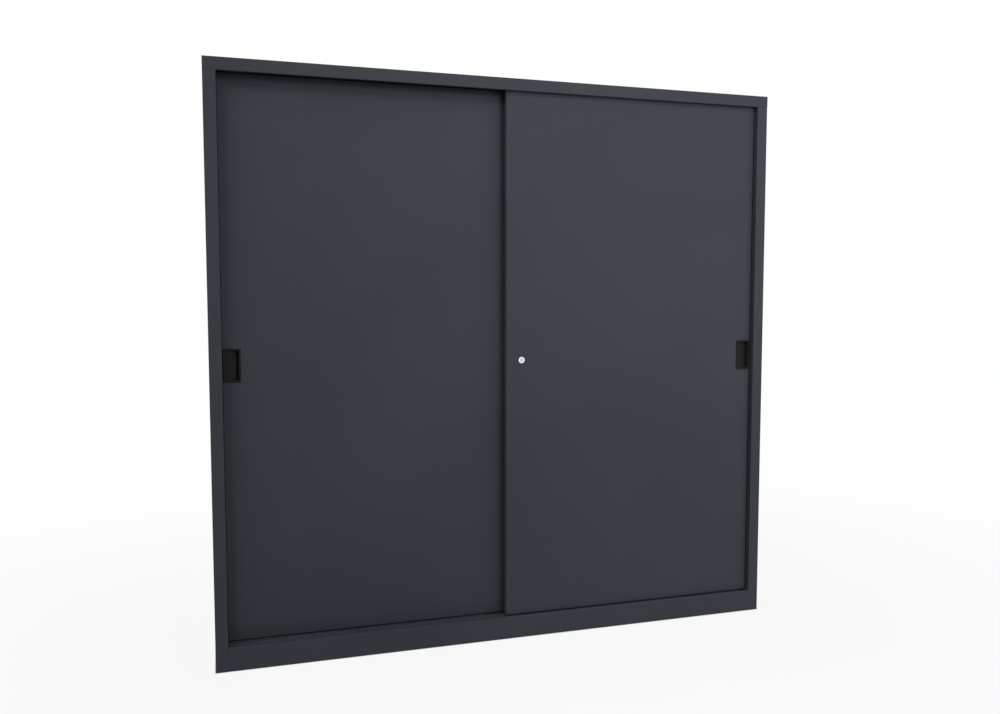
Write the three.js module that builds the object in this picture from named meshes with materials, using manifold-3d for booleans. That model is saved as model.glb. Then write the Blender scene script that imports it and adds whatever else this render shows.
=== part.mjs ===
// Sliding door cabinet in folded sheet steel, with two doors that pass each other on a lower track.
// Units are millimetres. X runs to the right, Y to the back and Z up, and the cabinet's front faces -Y.
// The origin is on the floor, under the middle of the cabinet.
import * as THREE from "three";
import { mergeVertices } from "three/addons/utils/BufferGeometryUtils.js";
import Module from "manifold-3d";

const wasm = await Module();
wasm.setup();

// Overall size
const overallWidth = 2000;
const overallDepth = 420;
const overallHeight = 1950;
const footProjection = 1; // the feet stand this far below the carcass

// Sheet steel and the gaps between pieces
const sheet = 1;
const bendRadius = 1; // on the inside of a bend
const heavySheet = 1.5; // uprights and partition posts
const bracketSheet = 2; // base rails, roller brackets, cam and strike
const seam = 0.3; // between pieces that lie against each other
const overrun = 4; // how far a cutter passes its cut

// Carcass
const stileWidth = 40;
const stileDepth = 95;
const backFlange = 15;
const sideTopFlange = 15;
const capHeight = 40; // the top panel's rail
const capLip = 14;
const plinthHeight = 78;
const plinthReturn = 8;
const plinthLip = 10;
const plinthFootFlange = 15;

// Base rails and levelling feet
const railWidth = 50;
const railFlange = 36;
const footPadRadius = 16;
const footPadHeight = 6;
const footStemRadius = 4;
const footCollarRadius = 8;
const footCollarHeight = 6;
const footFrontInset = 46; // from the cabinet's front to the front feet
const footRearInset = 46;

// Slotted uprights, partition and shelves
const uprightWidth = 30;
const uprightDepth = 15;
const uprightSetback = 8; // from the stile's back to the front uprights
const partitionThickness = 25;
const slotPitch = 75;
const slotWidth = 4;
const slotHeight = 16;
const slotMargin = 53; // from the cabinet's floor to the lowest slot, and from the highest to the top
const shelvesPerBay = 4;
const shelfSetback = 5; // from the stile's back to the shelf's front edge
const shelfBackGap = 3;
const shelfFlange = 30;
const shelfLip = 12;
const hookThickness = 2.6;
const hookHeight = 10;
const hookNose = 2;
const hookDrop = 5;
const hookPlay = 0.5; // between the hook's nose and the back of the slotted sheet
const hookLevel = 22; // from the shelf's top down to the bottom of its slot

// Doors
const frontDoorSetback = 20;
const rearDoorSetback = 62;
const doorThickness = 25;
const doorOverlap = 24.8;
const frontDoorGap = 3.5; // from the front door to the right stile
const rearDoorGap = 0.3; // from the rear door to the left stile
const doorRibGap = 1.6; // from the ribs up to the doors' lower edge
const doorTopCover = 8; // how far the doors reach up behind the top rail
const doorLip = 12;
const stiffenerWidth = 70;
const stiffenerFoot = 16;
const stiffenerDepth = 18;

// Upper guides
const guideSlot = 11; // clear width of each guide channel
const guideDrop = 18;
const tongueWidth = 8;
const tongueLength = 60;
const tongueTopPlay = 5;
const guideBaseWidth = 18;
const guideBaseHeight = 3;
const guideInset = 60; // from the door's edge to the guide
const stopLength = 30;
const stopPlay = 0.5;

// Lower track and rollers
const trackDrop = 5; // from the plinth's top down to the track's floor
const trackFrontLip = 3.5;
const ribHeight = 3.4;
const ribThickness = 2.4;
const rollerRadius = 12;
const rollerFlangeRadius = 14.5;
const rollerWidth = 10;
const rollerGroove = 4;
const rollerInset = 110; // from the door's edge to the roller's axle
const rollerCheekGap = 0.4;
const rollerTopGap = 2;
const rollerSlotGap = 0.8; // beside the roller in the door's lower edge
const rollerEndGap = 1.5;
const rollerBracketLength = 36;
const rollerBracketTab = 10; // at each end, flat on the door's lower edge
const axleRadius = 2.5;
const axleHeadRadius = 3.5;
const axleHeadThickness = 1.2;

// Flush pulls
const pullWidth = 56;
const pullHeight = 110;
const pullInset = 2; // from the door's edge to the pull
const pullClearance = 7.7; // from an open door's pull to the other door's edge
const pullLevel = 988; // height of the pulls' middle above the floor
const pullProud = 1.5;
const pullChamfer = 0.7;
const pullRim = 6;
const pullSeat = 4; // how much of the rim lies on the door
const pullDepth = 20;
const pullWall = 2;
const pullCornerRadius = 2;
const pullShallowDepth = 4;
const pullSlopeDepth = 13;
const pullSlotWidth = 6;

// Lock
const lockInset = 55.3; // from the front door's left edge to the lock's axis
const lockLevel = 988;
const lockFlangeRadius = 11.5;
const lockFlangeThickness = 7;
const lockChamfer = 0.8;
const lockBarrelRadius = 9;
const lockPlugRadius = 6.2;
const lockPlugRecess = 0.4;
const lockBarrelEnd = 25.4; // behind the door's face
const lockTang = 6;
const lockNutRadius = 13;
const lockNutThickness = 4;
const keyholeWidth = 2.4;
const keyholeHeight = 8;
const keyholeDepth = 12;
const camWidth = 12;
const camReach = 32;
const camHeel = 7;
const camScrewRadius = 2;
const camScrewLength = 8;
const camScrewHeadRadius = 5;
const camScrewHeadThickness = 2;
const camScrewSlot = 1;
const strikeRise = 15; // from the lock's axis up to the strike
const strikeHeight = 22;
const strikeBase = 14;
const strikeEdgeGap = 4; // from the rear door's edge to the strike's leg
const strikePlay = 1;

// Facet counts
const bendSteps = 2;
const roundSides = 20;
const smallSides = 12;
const cornerSteps = 2;
const nutSides = 6;

// Planes that the pieces share
const halfWidth = overallWidth / 2;
const front = -overallDepth / 2;
const back = overallDepth / 2;
const jamb = halfWidth - stileWidth;
const stileBack = front + stileDepth;
const capBottom = overallHeight - capHeight;
const capInside = overallHeight - sheet - seam;
const wallInside = halfWidth - sheet - seam;
const backPanelBack = back - sheet - seam;
const backPanelFront = backPanelBack - sheet;
const liningBack = backPanelFront - seam;
const trackFloor = plinthHeight - trackDrop;
const trackUnderside = trackFloor - sheet;
const railTop = trackUnderside - seam;
const trackBack = stileBack;
const ribTop = trackFloor + ribHeight;
const axleLevel = ribTop + seam + rollerRadius;
const doorBottom = ribTop + doorRibGap;
const doorTop = capBottom + doorTopCover;
const doorHeight = doorTop - doorBottom;
const doorWidth = (2 * jamb - frontDoorGap - rearDoorGap + doorOverlap) / 2;
const frontDoorLeft = jamb - frontDoorGap - doorWidth;
const rearDoorLeft = -jamb + rearDoorGap;
const doorTravel = doorWidth - doorOverlap - pullInset - pullWidth - pullClearance;
const doorSetbacks = [frontDoorSetback, rearDoorSetback];
const doorCentres = doorSetbacks.map((setback) => front + setback + doorThickness / 2);
const uprightFoot = plinthHeight + seam;
const uprightTop = capBottom - seam - sheet - seam;
const uprightFrontY = stileBack + uprightSetback + uprightWidth / 2;
const uprightRearY = liningBack - uprightWidth / 2;
const uprightY = [uprightFrontY, uprightRearY];
const lowestSlot = plinthHeight + slotMargin;
const slotCount = Math.floor((uprightTop - slotMargin - lowestSlot) / slotPitch) + 1;
const slotsPerShelf = Math.round(slotCount / (shelvesPerBay + 1));
const postFace = partitionThickness / 2;
const uprightFace = wallInside - uprightDepth;
const camFront = lockBarrelEnd + seam; // behind the front door's face
const camBack = camFront + bracketSheet;

const X = new THREE.Vector3(1, 0, 0);
const Y = new THREE.Vector3(0, 1, 0);
const Z = new THREE.Vector3(0, 0, 1);

// How a section's two axes and its length turn into X, Y and Z when it runs along each axis
const sectionFrames = {
  x: new THREE.Matrix4().makeBasis(Y, Z, X),
  y: new THREE.Matrix4().makeBasis(X, Z, Y.clone().negate()),
  z: new THREE.Matrix4(),
};

function signedVolume(positions, triangles) {
  const corner = [new THREE.Vector3(), new THREE.Vector3(), new THREE.Vector3()];
  let sum = 0;
  for (let i = 0; i < triangles.length; i += 3) {
    corner.forEach((point, k) => point.fromArray(positions, triangles[i + k] * 3));
    sum += corner[0].dot(corner[1].cross(corner[2]));
  }
  return sum;
}

// A closed geometry as a solid, with its shared vertices merged and its faces turned outwards
function toSolid(geometry) {
  const bare = geometry.index ? geometry.toNonIndexed() : geometry.clone();
  bare.deleteAttribute("normal");
  bare.deleteAttribute("uv");
  const merged = mergeVertices(bare);
  const positions = merged.getAttribute("position").array;
  const triangles = [];
  for (let i = 0; i < merged.index.count; i += 3) {
    const [a, b, c] = merged.index.array.slice(i, i + 3);
    if (a !== b && b !== c && c !== a) triangles.push(a, b, c);
  }
  const triVerts = new Uint32Array(triangles);
  if (signedVolume(positions, triVerts) < 0) triVerts.reverse();
  return new wasm.Manifold(
    new wasm.Mesh({ numProp: 3, vertProperties: positions, triVerts }),
  );
}

function outline(points) {
  return points.map(([u, v]) => new THREE.Vector2(u, v));
}

function rectangle(halfX, halfY) {
  return outline([[-halfX, -halfY], [halfX, -halfY], [halfX, halfY], [-halfX, halfY]]);
}

// A section extruded along an axis. Its points are (y, z) along X, (x, z) along Y and (x, y) along Z
function prism(axis, section, from, to, holes = []) {
  const shape = new THREE.Shape(section);
  shape.holes = holes.map((hole) => new THREE.Path(hole));
  const geometry = new THREE.ExtrudeGeometry(shape, { depth: to - from, bevelEnabled: false });
  geometry.translate(0, 0, axis === "y" ? -to : from);
  return toSolid(geometry.applyMatrix4(sectionFrames[axis]));
}

function box([x0, x1], [y0, y1], [z0, z1]) {
  const geometry = new THREE.BoxGeometry(x1 - x0, y1 - y0, z1 - z0);
  return toSolid(geometry.translate((x0 + x1) / 2, (y0 + y1) / 2, (z0 + z1) / 2));
}

// A round piece on the Y axis from a profile of (radius, place) pairs
function turned(profile, sides = roundSides) {
  return toSolid(new THREE.LatheGeometry(outline(profile), sides));
}

// The same on the Z axis
function turnedUpright(profile, sides = smallSides) {
  const geometry = new THREE.LatheGeometry(outline(profile), sides);
  return toSolid(geometry.applyMatrix4(sectionFrames.y));
}

function pin(radius, from, to, sides = smallSides) {
  return turned([[0, from], [radius, from], [radius, to], [0, to]], sides);
}

// The two faces of a folded sheet. The path runs along one face, and the sheet lies on its left
function foldedFaces(path, thickness = sheet, radius = bendRadius) {
  const points = path.map(([u, v]) => new THREE.Vector2(u, v));
  const runs = points.slice(1).map((point, i) => point.clone().sub(points[i]).normalize());
  const normals = runs.map((run) => new THREE.Vector2(-run.y, run.x));
  const centreOfTurn = new THREE.Vector2();
  const near = [points[0]];
  const far = [points[0].clone().addScaledVector(normals[0], thickness)];
  for (let i = 1; i < runs.length; i += 1) {
    const turn = Math.sign(runs[i - 1].cross(runs[i]));
    const angle = runs[i - 1].angleTo(runs[i]);
    const nearRadius = turn > 0 ? radius + thickness : radius;
    const farRadius = nearRadius - turn * thickness;
    const centre = points[i].clone();
    centre.addScaledVector(runs[i - 1], -nearRadius * Math.tan(angle / 2));
    centre.addScaledVector(normals[i - 1], turn * nearRadius);
    for (let step = 0; step <= bendSteps; step += 1) {
      const share = step / bendSteps;
      const spoke = normals[i - 1].clone().rotateAround(centreOfTurn, turn * angle * share);
      near.push(centre.clone().addScaledVector(spoke, -turn * nearRadius));
      far.push(centre.clone().addScaledVector(spoke, -turn * farRadius));
    }
  }
  near.push(points.at(-1));
  far.push(points.at(-1).clone().addScaledVector(normals.at(-1), thickness));
  return { near, far };
}

function foldedSection(path, thickness, radius) {
  const { near, far } = foldedFaces(path, thickness, radius);
  return [...near, ...far.reverse()];
}

// The same path on the other side of the cabinet, still with the sheet on its left
function mirroredPath(path) {
  return path.map(([u, v]) => [-u, v]).reverse();
}

// Two X places on one side of the cabinet, from left to right
function sideReach(side, inner, outer) {
  return side < 0 ? [-outer, -inner] : [inner, outer];
}

// A closed skin through rings of as many points each, capped at both ends
function skin(rings) {
  const count = rings[0].length;
  const triangles = [];
  for (let ring = 0; ring + 1 < rings.length; ring += 1) {
    for (let k = 0; k < count; k += 1) {
      const a = ring * count + k;
      const b = ring * count + ((k + 1) % count);
      triangles.push(a, b, b + count, a, b + count, a + count);
    }
  }
  const last = (rings.length - 1) * count;
  for (let k = 1; k + 1 < count; k += 1) {
    triangles.push(0, k + 1, k, last, last + k, last + k + 1);
  }
  const geometry = new THREE.BufferGeometry();
  geometry.setAttribute("position", new THREE.Float32BufferAttribute(rings.flat(2), 3));
  geometry.setIndex(triangles);
  return toSolid(geometry);
}

// A sheet folded on all four edges, with lips. The face lies at depth 0, and place gives the point
// for a width, a height and a depth
function foldedPan(width, height, depth, lip, place) {
  const face = sheet + bendRadius;
  const path = lip > 0 ? [[lip, depth], [0, depth]] : [[0, depth]];
  const { near, far } = foldedFaces([...path, [0, 0], [2 * face, 0]]);
  const rings = [...far.reverse(), ...near].map(({ x: inset, y: level }) => [
    place(inset, inset, level),
    place(width - inset, inset, level),
    place(width - inset, height - inset, level),
    place(inset, height - inset, level),
  ]);
  return skin(rings);
}

// A rectangle with rounded corners at one depth, as a ring of points in the XZ plane
function roundedRing(width, height, inset, depth) {
  const radius = Math.max(pullCornerRadius - inset, sheet / 2);
  const ring = [];
  const corners = [
    [width - inset - radius, inset + radius, -1],
    [width - inset - radius, height - inset - radius, 0],
    [inset + radius, height - inset - radius, 1],
    [inset + radius, inset + radius, 2],
  ];
  for (const [x, z, quarter] of corners) {
    for (let step = 0; step <= cornerSteps; step += 1) {
      const angle = (quarter + step / cornerSteps) * (Math.PI / 2);
      ring.push([x + radius * Math.cos(angle), depth, z + radius * Math.sin(angle)]);
    }
  }
  return ring;
}

const finishes = {
  anthraciteCoat: { color: "#3f4348", roughness: 0.55, metalness: 0.1 },
  zincSteel: { color: "#a9adb0", roughness: 0.4, metalness: 0.85 },
  blackPlastic: { color: "#1b1b1c", roughness: 0.6, metalness: 0 },
  blackNylon: { color: "#1f1f20", roughness: 0.5, metalness: 0 },
  darkRubber: { color: "#202020", roughness: 0.9, metalness: 0 },
  brightChrome: { color: "#e6e8ea", roughness: 0.15, metalness: 1 },
};

const cabinet = new THREE.Group();

function group(parent, x, y, z) {
  const made = new THREE.Group();
  made.position.set(x, y, z);
  parent.add(made);
  return made;
}

function add(parent, name, solid, finish, x = 0, y = 0, z = 0) {
  const mesh = solid.getMesh();
  const geometry = new THREE.BufferGeometry();
  geometry.setAttribute("position", new THREE.BufferAttribute(mesh.vertProperties, mesh.numProp));
  geometry.setIndex(new THREE.BufferAttribute(mesh.triVerts, 1));
  geometry.computeVertexNormals();
  const piece = new THREE.Mesh(geometry, new THREE.MeshStandardMaterial(finish));
  piece.name = name;
  piece.position.set(x, y, z);
  parent.add(piece);
}

// Side panel: the wall, a back flange, and a stile folded into a box at the front
function sidePanel(side) {
  const path = [
    [-halfWidth + backFlange, back],
    [-halfWidth, back],
    [-halfWidth, front],
    [-jamb, front],
    [-jamb, stileBack],
    [-wallInside, stileBack],
  ];
  const top = capBottom - seam;
  const section = foldedSection(side < 0 ? path : mirroredPath(path));
  const wall = prism("z", section, footProjection, top);
  const reach = sideReach(side, halfWidth - sideTopFlange, halfWidth - sheet / 2);
  const flange = box(reach, [stileBack + seam, liningBack], [top - sheet, top]);
  return wall.add(flange);
}

// Top panel: a tray turned upside down, whose front edge is the rail above the doors
function topPanel() {
  return foldedPan(overallWidth, overallDepth, capHeight, capLip, (across, along, level) => [
    across - halfWidth,
    along + front,
    overallHeight - level,
  ]);
}

// The cabinet's floor rests on the base rails by its edges
function bottomPanel() {
  const start = trackBack + seam;
  const depth = plinthHeight - railTop - seam;
  return foldedPan(2 * wallInside, liningBack - start, depth, 0, (across, along, level) => [
    across - wallInside,
    along + start,
    plinthHeight - level,
  ]);
}

function frontPlinth() {
  const section = foldedSection([
    [front + plinthReturn, plinthHeight - plinthLip],
    [front + plinthReturn, plinthHeight],
    [front, plinthHeight],
    [front, footProjection],
    [front + plinthFootFlange, footProjection],
  ]);
  return prism("x", section, -jamb + seam, jamb - seam);
}

function backPanel(side) {
  const reach = sideReach(side, seam, wallInside);
  return box(reach, [backPanelFront, backPanelBack], [footProjection, capBottom - seam]);
}

// Upper guide: one folded strip with a channel over each door
function upperGuideTrack() {
  const halfChannel = guideSlot / 2 + sheet;
  const [frontCentre, rearCentre] = doorCentres;
  const low = capInside - guideDrop;
  const section = foldedSection([
    [rearCentre + halfChannel, low - sheet],
    [rearCentre + halfChannel, capInside],
    [rearCentre - halfChannel, capInside],
    [rearCentre - halfChannel, low],
    [frontCentre + halfChannel, low],
    [frontCentre + halfChannel, capInside],
    [frontCentre - halfChannel, capInside],
    [frontCentre - halfChannel, low - sheet],
  ]);
  return prism("x", section, -jamb, jamb);
}

// Lower track: a trough behind the plinth with a rib for the rollers of each door
function lowerTrack() {
  const start = front + plinthReturn + seam;
  const reach = [-jamb + seam, jamb - seam];
  const section = foldedSection([
    [start, trackFloor + trackFrontLip],
    [start, trackUnderside],
    [trackBack, trackUnderside],
    [trackBack, plinthHeight - seam],
  ]);
  const trough = prism("x", section, ...reach);
  return doorCentres.reduce((track, centre) => {
    const width = [centre - ribThickness / 2, centre + ribThickness / 2];
    return track.add(box(reach, width, [trackUnderside + sheet / 2, ribTop]));
  }, trough);
}

const footX = jamb - seam - railWidth / 2;
const footY = [front + footFrontInset, back - footRearInset];

// Base rail: an upturned channel from front to back that carries the track and the floor
function baseRail(side) {
  const outer = -jamb + seam;
  const path = [
    [outer + railWidth, railTop - railFlange],
    [outer + railWidth, railTop],
    [outer, railTop],
    [outer, railTop - railFlange],
  ];
  const section = foldedSection(side < 0 ? path : mirroredPath(path), bracketSheet);
  const rail = prism("y", section, front + plinthFootFlange + seam, liningBack);
  const bore = footStemRadius + seam;
  const low = railTop - railFlange;
  const high = railTop + overrun;
  const hole = turnedUpright([[0, low], [bore, low], [bore, high], [0, high]]);
  return footY.reduce((cut, y) => cut.subtract(hole.translate([side * footX, y, 0])), rail);
}

// Levelling foot: a pad, a threaded stem and the collar that the base rail sits on
function levellingFoot() {
  const collarTop = railTop - bracketSheet - seam;
  return turnedUpright([
    [0, 0],
    [footPadRadius, 0],
    [footPadRadius, footPadHeight],
    [footStemRadius, footPadHeight],
    [footStemRadius, collarTop - footCollarHeight],
    [footCollarRadius, collarTop - footCollarHeight],
    [footCollarRadius, collarTop],
    [footStemRadius, collarTop],
    [footStemRadius, railTop],
    [0, railTop],
  ]);
}

// Cuts the shelf slots through whatever lies between two X places
function slotted(solid, reach) {
  const slots = Array.from({ length: slotCount }, (_, i) => {
    const low = lowestSlot + i * slotPitch;
    return box(reach, [-slotWidth / 2, slotWidth / 2], [low, low + slotHeight]);
  });
  return slots.reduce((cut, slot) => cut.subtract(slot), solid);
}

// Wall upright: a slotted channel against the side wall
function wallUpright(side) {
  const half = uprightWidth / 2;
  const path = [
    [-wallInside, -half],
    [-uprightFace, -half],
    [-uprightFace, half],
    [-wallInside, half],
  ];
  const section = foldedSection(side < 0 ? path : mirroredPath(path), heavySheet);
  const reach = sideReach(side, uprightFace - overrun, uprightFace + heavySheet + seam);
  return slotted(prism("z", section, uprightFoot, uprightTop), reach);
}

// Partition post: a square tube with shelf slots on both sides
function partitionPost(top) {
  const half = uprightWidth / 2;
  const inside = rectangle(postFace - heavySheet, half - heavySheet);
  const tube = prism("z", rectangle(postFace, half), uprightFoot, top, [inside]);
  return slotted(tube, [-postFace - overrun, postFace + overrun]);
}

// Partition panel: a double skin between the two posts
function partitionPanel() {
  const from = uprightFrontY + uprightWidth / 2 + seam;
  const to = uprightRearY - uprightWidth / 2 - seam;
  const half = (to - from) / 2;
  const inside = rectangle(postFace - sheet, half - sheet);
  const tube = prism("z", rectangle(postFace, half), uprightFoot, capInside, [inside]);
  return tube.translate([0, (from + to) / 2, 0]);
}

// Shelf in its own frame: the top at height 0 and the length from 0. Hooks on its ends pass the slots
function shelf() {
  const length = uprightFace - postFace - 2 * seam;
  const from = stileBack + shelfSetback;
  const to = backPanelFront - shelfBackGap;
  const section = foldedSection([
    [to - shelfLip, -shelfFlange],
    [to, -shelfFlange],
    [to, 0],
    [from, 0],
    [from, -shelfFlange],
    [from + shelfLip, -shelfFlange],
  ]);
  const board = prism("x", section, 0, length);
  const ends = [[0, sheet], [length - sheet, length]].map((reach) =>
    box(reach, [from + sheet / 2, to - sheet / 2], [-shelfFlange + sheet / 2, -sheet / 2]),
  );
  const slotFoot = -hookLevel;
  const noseStart = seam + heavySheet + hookPlay;
  const hook = [
    [-sheet / 2, slotFoot + seam],
    [-sheet / 2, slotFoot + hookHeight],
    [noseStart + hookNose, slotFoot + hookHeight],
    [noseStart + hookNose, slotFoot - hookDrop],
    [noseStart, slotFoot - hookDrop],
    [noseStart, slotFoot + seam],
  ];
  const hooks = [];
  for (const y of uprightY) {
    const reach = [y - hookThickness / 2, y + hookThickness / 2];
    const left = hook.map(([out, z]) => [-out, z]);
    const right = hook.map(([out, z]) => [length + out, z]);
    hooks.push(prism("y", outline(left), ...reach), prism("y", outline(right), ...reach));
  }
  return [...ends, ...hooks].reduce((joined, piece) => joined.add(piece), board);
}

// Each door is built in its own frame: its left edge, its face and its lower edge lie at 0
const rollerPlaces = [rollerInset, doorWidth - rollerInset];
const guidePlaces = [guideInset, doorWidth - guideInset];
const doorMiddle = doorThickness / 2;
const axleInDoor = axleLevel - doorBottom;
const pullFoot = pullLevel - doorBottom - pullHeight / 2;

function doorPanel(pullLeft, lockLeft) {
  const place = (across, along, level) => [across, level, along];
  const pan = foldedPan(doorWidth, doorHeight, doorThickness, doorLip, place);
  const cup = pullSeat - seam;
  const cupReach = [pullLeft + cup, pullLeft + pullWidth - cup];
  const depth = [-overrun, overrun];
  const cuts = [box(cupReach, depth, [pullFoot + cup, pullFoot + pullHeight - cup])];
  const slotLength = rollerFlangeRadius + rollerEndGap;
  const slotHalf = rollerWidth / 2 + rollerSlotGap;
  const slotReach = [doorMiddle - slotHalf, doorMiddle + slotHalf];
  for (const x of rollerPlaces) {
    cuts.push(box([x - slotLength, x + slotLength], slotReach, depth));
  }
  if (lockLeft) {
    const bore = pin(lockBarrelRadius + seam, ...depth, roundSides);
    cuts.push(bore.translate([lockLeft, 0, lockLevel - doorBottom]));
  }
  return cuts.reduce((cut, cutter) => cut.subtract(cutter), pan);
}

// Stiffener: a hat section up the middle of the door's inside
function doorStiffener() {
  const half = stiffenerWidth / 2;
  const foot = half + stiffenerFoot;
  const face = sheet + seam;
  const section = foldedSection([
    [foot, face + sheet],
    [half, face + sheet],
    [half, face + stiffenerDepth],
    [-half, face + stiffenerDepth],
    [-half, face + sheet],
    [-foot, face + sheet],
  ]);
  return prism("z", section, sheet + seam, doorHeight - sheet - seam);
}

// Top guide: a nylon block on the door's upper edge with a tongue that runs in the channel
function topGuide() {
  const base = guideBaseWidth / 2;
  const tongue = tongueWidth / 2;
  const foot = doorHeight + seam;
  const top = capInside - sheet - tongueTopPlay - doorBottom;
  const section = outline([
    [-base, foot],
    [base, foot],
    [base, foot + guideBaseHeight],
    [tongue, foot + guideBaseHeight],
    [tongue, top],
    [-tongue, top],
    [-tongue, foot + guideBaseHeight],
    [-base, foot + guideBaseHeight],
  ]);
  return prism("x", section, -tongueLength / 2, tongueLength / 2);
}

const cheekInside = rollerWidth / 2 + rollerCheekGap;
const cheekOutside = cheekInside + bracketSheet;

// Roller bracket: a saddle over the roller, whose end tabs lie on the door's lower edge
function rollerBracket() {
  const foot = sheet + seam;
  const top = axleInDoor + rollerFlangeRadius + rollerTopGap + bracketSheet;
  const end = rollerBracketLength / 2;
  const section = foldedSection(
    [
      [cheekOutside, foot],
      [cheekOutside, top],
      [-cheekOutside, top],
      [-cheekOutside, foot],
    ],
    bracketSheet,
  );
  const saddle = prism("x", section, -end, end);
  const width = [-cheekOutside, cheekOutside];
  const level = [foot, foot + bracketSheet];
  const bore = pin(axleRadius + seam, ...width).translate([0, 0, axleInDoor]);
  const tabs = [
    [-end - rollerBracketTab, sheet - end],
    [end - sheet, end + rollerBracketTab],
  ].map((reach) => box(reach, width, level));
  return tabs.reduce((joined, tab) => joined.add(tab), saddle).subtract(bore);
}

function rollerAxle() {
  const shoulder = cheekOutside + seam;
  const end = shoulder + axleHeadThickness;
  return turned(
    [
      [0, -end],
      [axleHeadRadius, -end],
      [axleHeadRadius, -shoulder],
      [axleRadius, -shoulder],
      [axleRadius, shoulder],
      [axleHeadRadius, shoulder],
      [axleHeadRadius, end],
      [0, end],
    ],
    smallSides,
  );
}

// Roller: a wheel with a groove that rides on the track's rib
function roller() {
  const half = rollerWidth / 2;
  const groove = rollerGroove / 2;
  const bore = axleRadius + seam;
  return turned([
    [bore, -half],
    [rollerFlangeRadius, -half],
    [rollerFlangeRadius, -groove],
    [rollerRadius, -groove],
    [rollerRadius, groove],
    [rollerFlangeRadius, groove],
    [rollerFlangeRadius, half],
    [bore, half],
    [bore, -half],
  ]);
}

// Pull: a cup with a rim on the door's face, a sloping floor and a deeper slot at its right side
function pull() {
  const rimBack = -seam;
  const rimFront = rimBack - pullProud;
  const rings = [
    [pullSeat, pullDepth],
    [pullSeat, rimBack],
    [0, rimBack],
    [0, rimFront + pullChamfer],
    [pullChamfer, rimFront],
    [pullRim - pullChamfer, rimFront],
    [pullRim, rimFront + pullChamfer],
    [pullRim, pullDepth - pullWall],
  ].map(([inset, depth]) => roundedRing(pullWidth, pullHeight, inset, depth));
  const wall = pullWall / 2;
  const slope = outline([
    [pullRim - wall, pullShallowDepth],
    [pullWidth - pullRim - pullSlotWidth, pullSlopeDepth],
    [pullWidth - pullRim - pullSlotWidth, pullDepth - wall],
    [pullRim - wall, pullDepth - wall],
  ]);
  return skin(rings).add(prism("z", slope, pullRim - wall, pullHeight - pullRim + wall));
}

// The lock's pieces are built round its own axis, with the door's face at 0
const lockFront = -seam - lockFlangeThickness;

function lockHousing() {
  const bore = lockPlugRadius + seam;
  return turned([
    [bore, lockFront],
    [lockFlangeRadius - lockChamfer, lockFront],
    [lockFlangeRadius, lockFront + lockChamfer],
    [lockFlangeRadius, -seam],
    [lockBarrelRadius, -seam],
    [lockBarrelRadius, lockBarrelEnd - seam],
    [bore, lockBarrelEnd - seam],
    [bore, lockFront],
  ]);
}

function lockNut() {
  const start = sheet + seam;
  const end = start + lockNutThickness;
  const nut = pin(lockNutRadius, start, end, nutSides);
  return nut.subtract(pin(lockBarrelRadius + seam, -overrun, end + overrun, roundSides));
}

function lockPlug() {
  const start = lockFront + lockPlugRecess;
  const half = lockTang / 2;
  const body = pin(lockPlugRadius, start, lockBarrelEnd, roundSides);
  const tang = box([-half, half], [lockBarrelEnd - sheet, camBack], [-half, half]);
  const keyhole = box(
    [-keyholeWidth / 2, keyholeWidth / 2],
    [start - overrun, start + keyholeDepth],
    [-keyholeHeight / 2, keyholeHeight / 2],
  );
  const screwHole = pin(camScrewRadius + seam, camBack - camScrewLength - seam, camBack + overrun);
  return body.add(tang).subtract(keyhole).subtract(screwHole);
}

// Cam: a flat arm on the plug's square end. It points sideways when the cabinet is unlocked
function lockCam() {
  const half = camWidth / 2;
  const hole = lockTang / 2 + seam;
  const shape = outline([
    [-camHeel, -half],
    [camReach - half, -half],
    [camReach, 0],
    [camReach - half, half],
    [-camHeel, half],
  ]);
  const arm = prism("y", shape, camFront, camBack);
  return arm.subtract(box([-hole, hole], [camFront - overrun, camBack + overrun], [-hole, hole]));
}

function camScrew() {
  const head = camBack + seam;
  const end = head + camScrewHeadThickness;
  const screw = turned(
    [
      [0, head - camScrewLength],
      [camScrewRadius, head - camScrewLength],
      [camScrewRadius, head],
      [camScrewHeadRadius, head],
      [camScrewHeadRadius, end],
      [0, end],
    ],
    smallSides,
  );
  const half = camScrewSlot / 2;
  const across = [-camScrewHeadRadius, camScrewHeadRadius];
  return screw.subtract(box(across, [end - camScrewSlot, end + overrun], [-half, half]));
}

// Strike: a cranked strip on the rear door whose arm reaches behind the front door to the cam
function lockStrike() {
  const armBack = frontDoorSetback + camBack - rearDoorSetback;
  const lockFromRearDoor = doorWidth - doorOverlap + lockInset;
  const leg = doorWidth - strikeEdgeGap;
  const section = foldedSection(
    [
      [lockFromRearDoor - camWidth / 2 - strikePlay, armBack],
      [leg, armBack],
      [leg, -seam],
      [leg - strikeBase, -seam],
    ],
    bracketSheet,
  );
  const low = lockLevel + strikeRise - doorBottom;
  return prism("z", section, low, low + strikeHeight);
}

// Travel stop: a rubber block in a guide channel, where the door's far guide meets it
function travelStop() {
  const half = guideSlot / 2 - seam;
  const top = capInside - sheet - seam;
  return box([0, stopLength], [-half, half], [capInside - guideDrop, top]);
}

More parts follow.
